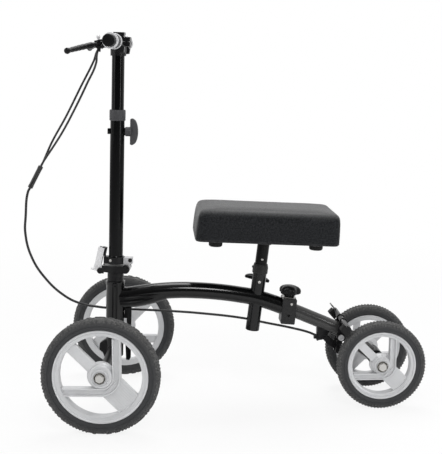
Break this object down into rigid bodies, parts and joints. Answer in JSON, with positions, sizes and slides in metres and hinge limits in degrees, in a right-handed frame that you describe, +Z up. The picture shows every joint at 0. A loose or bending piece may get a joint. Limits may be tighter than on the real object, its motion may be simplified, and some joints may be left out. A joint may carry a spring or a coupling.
{
  "type": "knee walker",
  "caption": "Steerable knee walker with a padded knee rest on a sliding post, a folding raked column, a handlebar with brake levers, brake cables and spoked wheels.",
  "frame": {"origin": "on the floor, below the centre of the bounding box", "axes": "+X towards the rear wheels, +Y towards the far side in the picture, +Z up; the front wheels are at -X"},
  "size_m": [0.912, 0.4508, 0.8461],
  "materials": {
    "gloss_black_paint": "gloss",
    "satin_black_metal": "satin",
    "black_plastic": "matte",
    "dark_grey_plastic": "matte",
    "bright_steel": "polished",
    "cast_aluminium": "as cast",
    "silver_grey_plastic": "satin",
    "tyre_rubber": "matte",
    "block_rubber": "matte",
    "grip_rubber": "matte",
    "heather_cloth": "matte",
    "cable_cover": "satin"
  },
  "bodies": {
    "frame": {"head_tube": "gloss_black_paint", "main_tube": "gloss_black_paint", "stop_strut": "gloss_black_paint", "seat_receiver": "gloss_black_paint", "seat_collar": "black_plastic", "rear_clamp": "satin_black_metal", "rear_tube": "gloss_black_paint", "rear_axle": "satin_black_metal", "axle_bolt_rear_near": "bright_steel", "axle_bolt_rear_far": "bright_steel", "pivot_bolt": "bright_steel", "cable_stop": "satin_black_metal", "cable_loop": "cable_cover", "cable_run": "cable_cover"},
    "stem": {"steerer": "satin_black_metal", "neck_collar": "black_plastic", "fold_pin": "satin_black_metal", "front_axle": "satin_black_metal", "axle_bolt_front_near": "bright_steel", "axle_bolt_front_far": "bright_steel"},
    "quick_release": {"quick_release_lever": "bright_steel"},
    "column": {"fold_block": "satin_black_metal", "fold_lug": "cast_aluminium", "column_tube": "gloss_black_paint", "column_collar": "dark_grey_plastic"},
    "column_knob": {"column_knob": "dark_grey_plastic"},
    "handle": {"handle_tube": "gloss_black_paint", "bar_clamp": "satin_black_metal", "handlebar": "gloss_black_paint", "grip_near": "grip_rubber", "grip_far": "grip_rubber", "brake_perch_near": "black_plastic", "brake_perch_far": "black_plastic", "brake_cable_near": "cable_cover", "brake_cable_far": "cable_cover", "cable_coupler": "dark_grey_plastic"},
    "lever_near": {"brake_lever_near": "black_plastic"},
    "lever_far": {"brake_lever_far": "black_plastic"},
    "seat": {"seat_post": "gloss_black_paint", "seat_plate": "satin_black_metal", "knee_pad": "heather_cloth", "bumper_front_near": "block_rubber", "bumper_front_far": "block_rubber", "bumper_rear_near": "block_rubber", "bumper_rear_far": "block_rubber"},
    "seat_knob": {"seat_knob": "dark_grey_plastic"},
    "star_knob": {"star_knob": "black_plastic"},
    "brake_yoke": {"brake_yoke": "satin_black_metal", "brake_shoe_near": "block_rubber", "brake_shoe_far": "block_rubber"},
    "brake_link": {"brake_link": "satin_black_metal"},
    "wheel_front_near": {"tyre_front_near": "tyre_rubber", "rim_front_near": "silver_grey_plastic"},
    "wheel_front_far": {"tyre_front_far": "tyre_rubber", "rim_front_far": "silver_grey_plastic"},
    "wheel_rear_near": {"tyre_rear_near": "tyre_rubber", "rim_rear_near": "silver_grey_plastic"},
    "wheel_rear_far": {"tyre_rear_far": "tyre_rubber", "rim_rear_far": "silver_grey_plastic"}
  },
  "joints": [
    {"name": "steering", "type": "hinge", "parent": "frame", "child": "stem", "pos_m": [-0.25435, 0, 0.127], "axis": [0.0272, 0, 0.9996], "range_deg": [-40, 50], "deforming": ["cable_loop"]},
    {"name": "column_fold", "type": "hinge", "parent": "stem", "child": "column", "pos_m": [-0.22495, -0.00205, 0.31727], "axis": [0.0845, 0.9964, -0.0023], "range_deg": [0, 42], "deforming": ["cable_loop"]},
    {"name": "quick_release", "type": "hinge", "parent": "stem", "child": "quick_release", "pos_m": [-0.28369, 0.00292, 0.31237], "axis": [-0.0845, -0.9964, 0.0023], "range_deg": [0, 100]},
    {"name": "column_knob_turn", "type": "hinge", "parent": "column", "child": "column_knob", "pos_m": [-0.24068, 0, 0.62881], "axis": [0.9961, -0.0845, -0.0271], "range_deg": [0, 270]},
    {"name": "handle_height", "type": "slide", "parent": "column", "child": "handle", "axis": [0.0272, 0, 0.9996], "range_m": [-0.1, 0.1], "deforming": ["cable_loop"]},
    {"name": "lever_near_pull", "type": "hinge", "parent": "handle", "child": "lever_near", "pos_m": [-0.2738, -0.05546, 0.81988], "axis": [-0.1462, 0.0147, 0.9892], "range_deg": [0, 24], "stiffness_Nm_per_rad": 1, "springref_deg": -17.19},
    {"name": "lever_far_pull", "type": "hinge", "parent": "handle", "child": "lever_far", "pos_m": [-0.26427, 0.06116, 0.82375], "axis": [0.0249, -0.0044, -0.9997], "range_deg": [0, 24], "stiffness_Nm_per_rad": 1, "springref_deg": -17.19},
    {"name": "seat_height", "type": "slide", "parent": "frame", "child": "seat", "axis": [-0.1201, 0, -0.9928], "range_m": [-0.075, 0.02]},
    {"name": "seat_knob_turn", "type": "hinge", "parent": "frame", "child": "seat_knob", "pos_m": [0.07947, 0, 0.28117], "axis": [0, 1, 0], "range_deg": [0, 270]},
    {"name": "star_knob_turn", "type": "hinge", "parent": "frame", "child": "star_knob", "pos_m": [0.14865, 0, 0.2165], "axis": [0.0872, 0, 0.9962], "range_deg": [0, 270]},
    {"name": "yoke_swing", "type": "hinge", "parent": "frame", "child": "brake_yoke", "pos_m": [0.27165, 0, 0.15], "axis": [0, 1, 0], "range_deg": [0, 8.4]},
    {"name": "link_swing", "type": "hinge", "parent": "brake_yoke", "child": "brake_link", "pos_m": [0.26565, 0, 0.118], "axis": [0, 1, 0], "range_deg": [-8.4, 0]},
    {"name": "wheel_front_near_spin", "type": "hinge", "parent": "stem", "child": "wheel_front_near", "pos_m": [-0.2744, -0.20093, 0.127], "axis": [-0.0845, -0.9964, 0], "continuous": true},
    {"name": "wheel_front_far_spin", "type": "hinge", "parent": "stem", "child": "wheel_front_far", "pos_m": [-0.2403, 0.20093, 0.127], "axis": [-0.0845, -0.9964, 0], "continuous": true},
    {"name": "wheel_rear_near_spin", "type": "hinge", "parent": "frame", "child": "wheel_rear_near", "pos_m": [0.35405, -0.07645, 0.1015], "axis": [0, -1, 0], "continuous": true},
    {"name": "wheel_rear_far_spin", "type": "hinge", "parent": "frame", "child": "wheel_rear_far", "pos_m": [0.35405, 0.07645, 0.1015], "axis": [0, -1, 0], "continuous": true}
  ],
  "couplings": [
    {"joint": "yoke_swing", "follows": "lever_near_pull", "ratio": 0.35},
    {"joint": "link_swing", "follows": "lever_near_pull", "ratio": -0.35}
  ]
}
